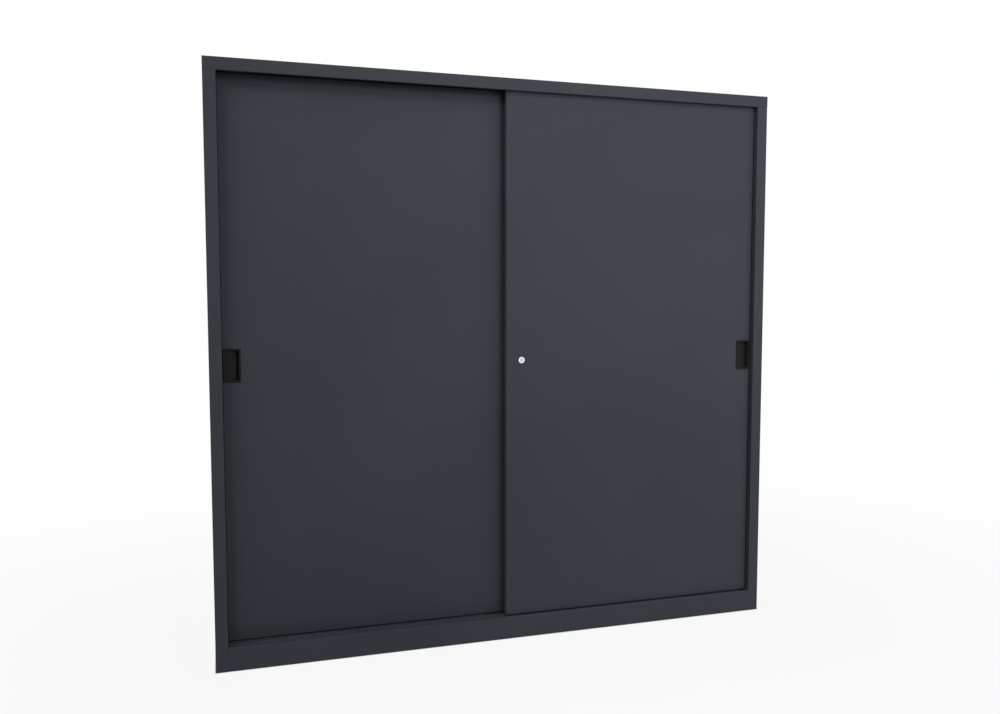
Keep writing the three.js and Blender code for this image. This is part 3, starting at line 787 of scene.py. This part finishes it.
@dataclass
class FlushPull:
    """A black moulded cup let into a door, with a hollowed floor and a finger slot at its right."""

    rack: FinishRack
    door: str
    flange: float = 1.5 * MM
    seat: float = 4.0 * MM
    rim: float = 6.0 * MM
    outer_corner: float = 3.0 * MM
    inner_corner: float = 1.4 * MM
    outer_round: float = 1.0 * MM
    inner_round: float = 0.8 * MM
    draw: float = 0.25 * MM
    shallow: float = 3.6 * MM
    deep: float = 13.0 * MM
    slot_width: float = 6.0 * MM
    slot_depth: float = 18.6 * MM
    slot_bow: float = 1.2 * MM
    slot_steps: tuple[float, ...] = (0.05 * MM, 0.6 * MM, 1.6 * MM)
    lip: float = 1.1 * MM
    lip_shares: tuple[float, ...] = (1.0, 0.6, 0.3, 0.1, 0.0)
    slope_share: float = 0.25
    corner_share: float = 0.4
    fillet: float = 1.6 * MM
    fillet_shares: tuple[float, ...] = (0.0, 0.1, 0.3, 0.6, 1.0, 1.6)
    runs: tuple[int, int] = (12, 16)
    rounds: int = 3
    crease: float = 38

    def stations(self, start: float, end: float, count: int) -> list[float]:
        """Give places from wall to wall, closer together at both walls.

        Args:
            start: The first wall.
            end: The second wall.
            count: How many runs the middle has.

        Returns:
            The places in order.
        """
        near = [start + share * self.fillet for share in self.fillet_shares]
        far = [end - share * self.fillet for share in reversed(self.fillet_shares)]
        inner = [near[-1] + (far[0] - near[-1]) * i / count for i in range(1, count)]
        return [*near, *inner, *far]

    def floor_depth(self, x: float, left: float, right: float) -> float:
        """Give the floor's depth behind the rim, before the fillets at the walls.

        Args:
            x: The place across the cup.
            left: The cup's left wall.
            right: Its right wall.

        Returns:
            The depth in metres.
        """
        edge = right - self.slot_width
        if x > edge:
            bow = 2 * (x - edge) / self.slot_width - 1
            return self.slot_depth - self.slot_bow * bow * bow
        share = (x - left) / (edge - left)
        fall = self.slope_share * share + (1 - self.slope_share) * share * share
        depth = self.shallow + (self.deep - self.shallow) * fall
        past = x - (edge - self.lip)
        if past > 0:
            depth += self.lip - math.sqrt(max(self.lip**2 - past**2, 0.0))
        return depth

    def fillet_rise(self, distance: float) -> float:
        """Give how far the floor rises towards a wall at a distance from it."""
        if distance >= self.fillet:
            return 0.0
        return self.fillet - math.sqrt(max(self.fillet**2 - (self.fillet - distance) ** 2, 0.0))

    def rounded(self, spot: Pair, low: Pair, high: Pair, radius: float) -> Pair:
        """Move a point of a rectangle's edge onto its rounded corner.

        Args:
            spot: The point.
            low: The rectangle's lowest corner.
            high: Its highest corner.
            radius: The radius of its corners.

        Returns:
            The moved point, or the same one where it lies on a straight edge.
        """
        nearest = [min(max(spot[i], low[i] + radius), high[i] - radius) for i in (0, 1)]
        away = Vector((spot[0] - nearest[0], spot[1] - nearest[1]))
        if abs(away.x) < 1e-9 or abs(away.y) < 1e-9:
            return spot
        away *= radius / away.length
        return (nearest[0] + away.x, nearest[1] + away.y)

    def build(self) -> None:
        """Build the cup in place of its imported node."""
        node = f"{self.door}_pull"
        low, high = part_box(node)
        face = low.y
        walls = self.rim + self.draw
        left, right = low.x + walls, high.x - walls
        bottom, top = low.z + walls, high.z - walls
        edge = right - self.slot_width
        columns = self.stations(left, right, self.runs[0])
        columns += [edge - self.lip * share for share in self.lip_shares]
        columns += [edge + step for step in self.slot_steps]
        columns = sorted(x for x in set(columns) if left <= x <= right)
        rows = self.stations(bottom, top, self.runs[1])
        draft = Draft()
        grid = []
        for z in rows:
            spots = []
            for x in columns:
                wall = min(x - left, right - x)
                end = min(z - bottom, top - z)
                rise = max(self.fillet_rise(wall), self.fillet_rise(end))
                spots.append((x, face + self.floor_depth(x, left, right) - rise, z))
            grid.append(draft.ring(spots))
        for first, second in zip(grid, grid[1:]):
            draft.bridge(first, second, closed=False)
        border = [*grid[0], *(row[-1] for row in grid[1:-1]), *reversed(grid[-1])]
        border += [row[0] for row in reversed(grid[1:-1])]
        shares = [
            ((v.co.x - left) / (right - left), (v.co.z - bottom) / (top - bottom)) for v in border
        ]
        previous = border
        for inset, y, radius in self.rim_rings(face, high.y):
            near = (low.x + inset, low.z + inset)
            far = (high.x - inset, high.z - inset)
            wide, tall = far[0] - near[0], far[1] - near[1]
            spots = [(near[0] + u * wide, near[1] + v * tall) for u, v in shares]
            moved = [self.rounded(spot, near, far, radius) for spot in spots]
            ring = draft.ring((x, y, z) for x, z in moved)
            draft.bridge(previous, ring)
            previous = ring
        draft.mesh.faces.new(previous)
        pull = draft.settle(f"{node}_cup", self.rack[Slot.BLACK_PLASTIC], self.crease)
        mount_piece(pull, f"{self.door}_door", Slot.BLACK_PLASTIC, node)

    def rim_rings(self, face: float, back: float) -> list[Point]:
        """List the rings from the cup's mouth over the rim to its back.

        Args:
            face: The Y of the rim's front.
            back: The Y of the cup's back.

        Returns:
            Inset, Y and corner radius of each ring.
        """
        inner, outer = self.inner_round, self.outer_round
        mouth = arc((self.rim - inner, face + inner), inner, 0, -90, self.rounds)
        brow = arc((outer, face + outer), outer, -90, -180, self.rounds)
        rings = [(inset, y, self.inner_corner) for inset, y in mouth]
        rings += [(inset, y, self.outer_corner - inset * self.corner_share) for inset, y in brow]
        rings.append((0.0, face + self.flange, self.outer_corner))
        rings.append((self.seat, face + self.flange, self.inner_corner))
        rings.append((self.seat, back, self.inner_corner))
        return rings


@dataclass
class CylinderLock:
    """A chromed cylinder lock with a keyhole, set in the front door."""

    rack: FinishRack
    flange_radius: float = 11.5 * MM
    flange_thickness: float = 7.0 * MM
    flange_edge: float = 1.2 * MM
    barrel_radius: float = 9.0 * MM
    thread_pitch: float = 1.0 * MM
    thread_depth: float = 0.4 * MM
    bore: float = 6.45 * MM
    bore_edge: float = 0.3 * MM
    plug_radius: float = 6.2 * MM
    plug_edge: float = 0.5 * MM
    plug_recess: float = 0.4 * MM
    tang_radius: float = 3 * MM
    tang_length: float = 2.3 * MM
    keyhole: Pair = (2.5 * MM, 8.0 * MM)
    keyhole_depth: float = 9 * MM
    keyhole_edge: Pair = (0.3 * MM, 0.35 * MM)
    # Black shutter behind the keyhole: a dust shutter, and painted shade for the keyhole's dark
    # depth.
    shade_shutter: Pair = (0.5 * MM, 1.3 * MM)
    shutter_play: float = 0.05 * MM
    sides: int = 64
    crease: float = 30
    inner_axis: Point = field(init=False)
    plug_front: float = field(init=False)
    length: float = field(init=False)

    def __post_init__(self) -> None:
        """Find the lock's axis, the plug's front and the housing's length."""
        low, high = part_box("lock_housing")
        self.inner_axis = ((low.x + high.x) / 2, low.y, (low.z + high.z) / 2)
        self.plug_front = low.y + self.plug_recess
        self.length = high.y - low.y

    def build_housing(self) -> None:
        """Build the flanged, threaded housing."""
        flange, depth, edge = self.flange_radius, self.flange_thickness, self.flange_edge
        crest, root = self.barrel_radius, self.barrel_radius - self.thread_depth
        mouth = (self.bore + self.bore_edge, 0.0)
        profile = [mouth, (flange - edge, 0.0)]
        profile += arc((flange - edge, edge), edge, -90, 0, 5)[1:]
        profile += [(flange, depth), (crest, depth)]
        for i in range(int((self.length - depth) / self.thread_pitch) - 1):
            profile.append((crest, depth + (i + 0.5) * self.thread_pitch))
            profile.append((root, depth + (i + 1) * self.thread_pitch))
        profile += [(root, self.length), (self.bore, self.length)]
        profile += [(self.bore, self.bore_edge), mouth]
        draft = Draft()
        draft.turn(profile, self.inner_axis, Axis.Y, self.sides)
        chrome = self.rack[Slot.BRIGHT_CHROME]
        housing = draft.settle("lock_housing_flanged", chrome, self.crease)
        mount_piece(housing, "right_door", Slot.BRIGHT_CHROME, "lock_housing")

    def keyhole_spot(self, angle: float, grow: float) -> Pair:
        """Give the point of the keyhole's outline at an angle.

        Args:
            angle: The angle in radians round the lock's axis.
            grow: How far outside the keyhole the outline lies.

        Returns:
            The point across and up from the axis.
        """
        half = self.keyhole[0] / 2 + grow
        straight = self.keyhole[1] / 2 - self.keyhole[0] / 2
        x, z = math.cos(angle), math.sin(angle)
        if abs(x) * straight > abs(z) * half:
            return (math.copysign(half, x), half * z / abs(x))
        reach = abs(z) * straight
        out = reach + math.sqrt(max(reach * reach - straight * straight + half * half, 0.0))
        return (out * x, out * z)

    def angles(self) -> list[float]:
        """Give the angles of the points on a ring round the axis."""
        return [2 * math.pi * i / self.sides for i in range(self.sides)]

    def keyhole_ring(self, grow: float, place: float) -> list[Point]:
        """Give a ring of points on the keyhole's outline.

        Args:
            grow: How far outside the keyhole the ring lies.
            place: Where it lies from front to back.

        Returns:
            The points.
        """
        x, _, z = self.inner_axis
        spots = [self.keyhole_spot(angle, grow) for angle in self.angles()]
        return [(x + across, place, z + up) for across, up in spots]

    def circle(self, radius: float, place: float) -> list[Point]:
        """Give a ring of points round the axis.

        Args:
            radius: The ring's radius.
            place: Where it lies from front to back.

        Returns:
            The points.
        """
        x, _, z = self.inner_axis
        return [(x + radius * math.cos(a), place, z + radius * math.sin(a)) for a in self.angles()]

    def build_shade_shutter(self) -> None:
        """Build the black dust shutter just behind the keyhole's mouth, whose black is partly
        painted shade standing in for the dark depth of the keyhole.
        """
        draft = Draft()
        places = (self.plug_front + depth for depth in self.shade_shutter)
        near, far = (self.keyhole_ring(-self.shutter_play, place) for place in places)
        draft.bar(near, far)
        # Black as painted shade for the deep keyhole, besides being a dust shutter.
        plastic = self.rack[Slot.BLACK_PLASTIC]
        shade_shutter = draft.settle("lock_keyhole_shade_shutter", plastic, self.crease)
        mount_piece(shade_shutter, "lock_barrel", Slot.BLACK_PLASTIC)

    def build_plug(self) -> None:
        """Build the plug with its keyhole and its round tang."""
        front, edge = self.plug_front, self.plug_edge
        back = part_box("lock_plug")[1].y
        shoulder = back - self.tang_length
        draft = Draft()
        places = [
            self.keyhole_ring(0.0, front + self.keyhole_depth),
            self.keyhole_ring(0.0, front + self.keyhole_edge[1]),
            self.keyhole_ring(self.keyhole_edge[0], front),
            self.circle(self.plug_radius - edge, front),
            self.circle(self.plug_radius, front + edge),
            self.circle(self.plug_radius, shoulder),
            self.circle(self.tang_radius, shoulder),
            self.circle(self.tang_radius, back),
        ]
        rings = [draft.ring(place) for place in places]
        for first, second in zip(rings, rings[1:]):
            draft.bridge(first, second)
        draft.mesh.faces.new(rings[0])
        draft.mesh.faces.new(rings[-1])
        plug = draft.settle("lock_plug_keyed", self.rack[Slot.BRIGHT_CHROME], self.crease)
        mount_piece(plug, "lock_barrel", Slot.BRIGHT_CHROME, "lock_plug")

    def dress(self) -> None:
        """Give the lock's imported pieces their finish."""
        work = SheetMetalwork(self.rack)
        names = ["lock_nut", "lock_cam", "lock_cam_screw", "lock_strike"]
        work.dress(names, Slot.ZINC_STEEL, work.fitting_edge)


@dataclass
class RollerSet:
    """A door's two rollers with their bushes and riveted axles."""

    rack: FinishRack
    door: str
    groove_radius: float = 12 * MM
    flange_radius: float = 14.5 * MM
    half_width: float = 5 * MM
    groove: float = 2 * MM
    seat_edge: float = 0.8 * MM
    web_radii: tuple[float, ...] = (8.2 * MM, 8.8 * MM, 11.6 * MM, 12.2 * MM)
    web_depth: float = 0.7 * MM
    rim_edge: float = 0.6 * MM
    rim_slope: Pair = (0.5 * MM, 0.2 * MM)
    groove_round: float = 0.4 * MM
    bush_radius: float = 5.2 * MM
    bush_edge: float = 0.3 * MM
    bush_play: Pair = (0.02 * MM, 0.2 * MM)
    bore: float = 2.8 * MM
    axle_radius: float = 2.5 * MM
    head_radius: float = 3.5 * MM
    head_height: float = 1.2 * MM
    head_angles: tuple[float, ...] = (1.5, 1.2, 0.85, 0.45)
    sides: int = 56
    axle_sides: int = 28
    crease: float = 34

    def build(self) -> None:
        """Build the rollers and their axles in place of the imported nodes."""
        for number in (1, 2):
            self.build_roller(f"{self.door}_roller_{number}")
            self.build_axle(f"{self.door}_roller_axle_{number}")
        brackets = [f"{self.door}_roller_bracket_{number}" for number in (1, 2)]
        work = SheetMetalwork(self.rack)
        work.dress(brackets, Slot.ZINC_STEEL, work.fitting_edge)

    def centre_of(self, node: str) -> Point:
        """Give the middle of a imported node's box."""
        low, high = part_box(node)
        middle = (low + high) / 2
        return (middle.x, middle.y, middle.z)

    def build_roller(self, node: str) -> None:
        """Build a grooved roller and its steel bush.

        Args:
            node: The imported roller.
        """
        face, wall, bush = -self.half_width, -self.groove, self.bush_radius
        outer, edge, slope = self.flange_radius, self.rim_edge, self.rim_slope
        inner, hollow, sunk = self.groove_radius, self.groove_round, face + self.web_depth
        profile = [(bush, face + self.seat_edge), (bush + self.seat_edge, face)]
        profile += zip(self.web_radii, (face, sunk, sunk, face))
        profile += [(outer - edge, face), (outer, face + edge)]
        profile += [(outer, wall - slope[0] - slope[1]), (outer - slope[0], wall - slope[1])]
        profile += [(inner + hollow, wall), (inner, wall + hollow)]
        draft = Draft()
        draft.turn(mirrored(profile), self.centre_of(node), Axis.Y, self.sides)
        wheel = draft.settle(f"{node}_wheel", self.rack[Slot.BLACK_NYLON], self.crease)
        mount_piece(wheel, node, Slot.BLACK_NYLON, node)
        rim, end = bush - self.bush_play[0], face + self.bush_play[1]
        bore, edge = self.bore, self.bush_edge
        sleeve = [(bore, end + edge), (bore + edge, end), (rim - edge, end), (rim, end + edge)]
        draft = Draft()
        draft.turn(mirrored(sleeve), self.centre_of(node), Axis.Y, self.sides)
        lining = draft.settle(f"{node}_bush", self.rack[Slot.ZINC_STEEL], self.crease)
        mount_piece(lining, node, Slot.ZINC_STEEL)

    def build_axle(self, node: str) -> None:
        """Build an axle whose ends are formed into domed rivet heads.

        Args:
            node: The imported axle.
        """
        low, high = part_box(node)
        half = (high.y - low.y) / 2
        radius, height = self.head_radius, self.head_height
        shoulder = half - height
        angles = self.head_angles
        dome = [(radius * math.sin(a), shoulder + height * math.cos(a)) for a in angles]
        upper = [(self.axle_radius, shoulder), (radius, shoulder), *dome, (0.0, half)]
        lower = [(across, -place) for across, place in reversed(upper)]
        draft = Draft()
        draft.turn([*lower, *upper], self.centre_of(node), Axis.Y, self.axle_sides)
        axle = draft.settle(f"{node}_riveted", self.rack[Slot.ZINC_STEEL], self.crease)
        mount_piece(axle, f"{self.door}_door", Slot.ZINC_STEEL, node)


@dataclass
class DoorLeaf:
    """A sliding door: its folded panel, stiffener, guides, rollers and pull."""

    rack: FinishRack
    name: str
    sheet_edge: float = 0.25 * MM
    guide_edge: float = 0.8 * MM

    def dress(self) -> None:
        """Give the door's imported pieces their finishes."""
        work = SheetMetalwork(self.rack)
        work.dress([f"{self.name}_door_panel"], Slot.DOOR_COAT, self.sheet_edge)
        work.dress([f"{self.name}_door_stiffener"], Slot.ZINC_STEEL, self.sheet_edge)
        guides = [f"{self.name}_top_guide_{number}" for number in (1, 2)]
        work.dress(guides, Slot.BLACK_NYLON, self.guide_edge, steps=3)

    def build(self) -> None:
        """Build the door's pull and rollers."""
        FlushPull(self.rack, self.name).build()
        RollerSet(self.rack, self.name).build()


@dataclass(frozen=True)
class SoftLamp:
    """A square area lamp that is aimed at a point."""

    name: str
    place: Point
    target: Point
    size: float
    power: float

    def build(self) -> None:
        """Hang the lamp and aim it."""
        data = bpy.data.lights.new(self.name, "AREA")
        data.shape = "SQUARE"
        data.size = self.size
        data.energy = self.power
        lamp = add_object(self.name, data)
        lamp.visible_camera = False
        lamp.visible_glossy = False
        lamp.location = self.place
        aim = Vector(self.target) - Vector(self.place)
        lamp.rotation_euler = aim.to_track_quat("-Z", "Y").to_euler()


@dataclass
class Studio:
    """A white floor, soft light and the camera."""

    floor_size: float = 60.0
    floor_glow: float = 0.92
    floor_colour: str = "#a8a8a8"
    footprint: Pair = (1.0, 0.21)
    # Width over which the floor's glow fades at the cabinet's foot, painting a dark rim there.
    painted_foot_shade_width: float = 4 * MM
    white_from: float = 2.6
    ambient: float = 0.04
    camera_place: Point = (-0.95787, -3.17149, 1.22706)
    camera_turn: Pair = (-4.16, 17.183)
    lens: float = 32.387
    sensor: float = 36.0
    farthest: float = 200.0
    lamps: tuple[SoftLamp, ...] = (
        SoftLamp("key_lamp", (-3.4, -5.6, 5.3), (0.0, -0.2, 1.0), 1.0, 62.6),
        SoftLamp("near_lamp", (0.4, -2.2, 2.2), (0.2, -0.2, 1.0), 0.6, 15.3),
        SoftLamp("near_high_lamp", (0.5, -2.0, 3.2), (0.2, -0.2, 1.0), 0.8, 6.9),
        SoftLamp("upper_left_lamp", (-2.94, -1.9, 3.12), (0.0, -0.2, 1.0), 2.2, 27.7),
        SoftLamp("upper_right_lamp", (2.94, -1.9, 3.12), (0.0, -0.2, 1.0), 2.2, 11.8),
        SoftLamp("right_lamp", (2.4, -1.6, 1.8), (0.6, -0.2, 1.0), 1.4, 9.0),
        SoftLamp("low_right_lamp", (1.6, -2.6, 0.7), (0.6, -0.2, 0.7), 1.0, 9.2),
        SoftLamp("back_lamp", (0.0, 4.2, 3.2), (0.0, 0.2, 1.0), 3.0, 80.0),
    )

    def seen_directly(self, tree: bpy.types.ShaderNodeTree) -> bpy.types.NodeSocket:
        """Give 1 for rays from the camera, from gloss or through glass, and 0 for others.

        Args:
            tree: The node tree of a material or of the world.

        Returns:
            The share.
        """
        path = tree.nodes.new("ShaderNodeLightPath")
        total = path.outputs["Is Camera Ray"]
        for name in ("Is Glossy Ray", "Is Transmission Ray"):
            total = sums(tree, "MAXIMUM", total, path.outputs[name])
        return total

    def distance_from_cabinet(self, tree: bpy.types.ShaderNodeTree) -> bpy.types.NodeSocket:
        """Give the distance on the floor from the cabinet's footprint.

        Args:
            tree: The node tree of the floor's material.

        Returns:
            The distance in metres, 0 under the cabinet.
        """
        parts = tree.nodes.new("ShaderNodeSeparateXYZ")
        place = tree.nodes.new("ShaderNodeTexCoord").outputs["Object"]
        tree.links.new(place, parts.inputs[0])
        squares = []
        for axis, half in zip("XY", self.footprint):
            size = sums(tree, "ABSOLUTE", parts.outputs[axis])
            past = sums(tree, "MAXIMUM", sums(tree, "SUBTRACT", size, half), 0.0)
            squares.append(sums(tree, "MULTIPLY", past, past))
        return sums(tree, "SQRT", sums(tree, "ADD", *squares))

    def build_world(self) -> None:
        """Make the surroundings white to look at and softer as light."""
        world = bpy.data.worlds.new("studio_world")
        world.use_nodes = True
        tree = world.node_tree
        tree.nodes.clear()
        mixed = tree.nodes.new("ShaderNodeMixShader")
        tree.links.new(self.seen_directly(tree), mixed.inputs[0])
        for strength, socket in ((self.ambient, 1), (1.0, 2)):
            light = tree.nodes.new("ShaderNodeBackground")
            light.inputs["Color"].default_value = WHITE
            light.inputs["Strength"].default_value = strength
            tree.links.new(light.outputs[0], mixed.inputs[socket])
        out = tree.nodes.new("ShaderNodeOutputWorld")
        tree.links.new(mixed.outputs[0], out.inputs[0])
        bpy.context.scene.world = world

    def build_floor(self) -> None:
        """Lay a pale floor that looks white and keeps the cabinet's shadow; its glow fades towards
        the cabinet, which paints a darker rim at the foot and a faint grey round it.
        """
        bpy.ops.mesh.primitive_plane_add(size=self.floor_size)
        floor = bpy.context.object
        floor.name = "studio_floor"
        material = bpy.data.materials.new("studio_floor_white")
        material.use_nodes = True
        tree = material.node_tree
        tree.nodes.clear()
        matt = tree.nodes.new("ShaderNodeBsdfDiffuse")
        matt.inputs["Color"].default_value = linear(self.floor_colour)
        glow = tree.nodes.new("ShaderNodeEmission")
        shown = tree.nodes.new("ShaderNodeMixShader")
        out = tree.nodes.new("ShaderNodeOutputMaterial")
        away = self.distance_from_cabinet(tree)
        # Painted shade: the glow fades to nothing at the foot and is fully white only far off, so
        # the floor darkens towards the cabinet beyond its real shadow.
        near = spread(tree, away, (0.0, self.painted_foot_shade_width), (0.0, self.floor_glow))
        far = spread(tree, away, (0.0, self.white_from), (0.0, 1.0 - self.floor_glow))
        share = sums(tree, "MULTIPLY", self.seen_directly(tree), sums(tree, "ADD", near, far))
        tree.links.new(share, shown.inputs[0])
        tree.links.new(matt.outputs[0], shown.inputs[1])
        tree.links.new(glow.outputs[0], shown.inputs[2])
        tree.links.new(shown.outputs[0], out.inputs[0])
        floor.data.materials.append(material)

    def build_camera(self) -> None:
        """Set the camera at the photograph's viewing angle."""
        data = bpy.data.cameras.new("photograph_view")
        data.lens = self.lens
        data.sensor_width = self.sensor
        data.clip_end = self.farthest
        camera = add_object("photograph_view", data)
        camera.location = self.camera_place
        pitch, yaw = self.camera_turn
        camera.rotation_euler = (math.radians(90 + pitch), 0.0, math.radians(-yaw))
        bpy.context.scene.camera = camera

    def build(self) -> None:
        """Set up the whole studio."""
        self.build_world()
        self.build_floor()
        for lamp in self.lamps:
            lamp.build()
        self.build_camera()
        bpy.context.scene.view_settings.view_transform = "Standard"
        log.info("studio set with %d lamps", len(self.lamps))


def main() -> None:
    """Dress the cabinet, build its fine pieces and set the studio round it."""
    logging.basicConfig(level=logging.INFO, format="%(name)s: %(message)s")
    rack = FinishRack()
    Studio().build()
    carcass = Carcass(rack)
    carcass.dress()
    carcass.build_rivets()
    carcass.build_welds()
    carcass.build_sealant()
    for side in ("left", "right"):
        for end in ("front", "rear"):
            LevellingFoot(rack, f"{side}_{end}_foot").build()
        leaf = DoorLeaf(rack, side)
        leaf.dress()
        leaf.build()
    lock = CylinderLock(rack)
    lock.dress()
    lock.build_housing()
    lock.build_plug()
    lock.build_shade_shutter()


if __name__ == "__main__":
    main()
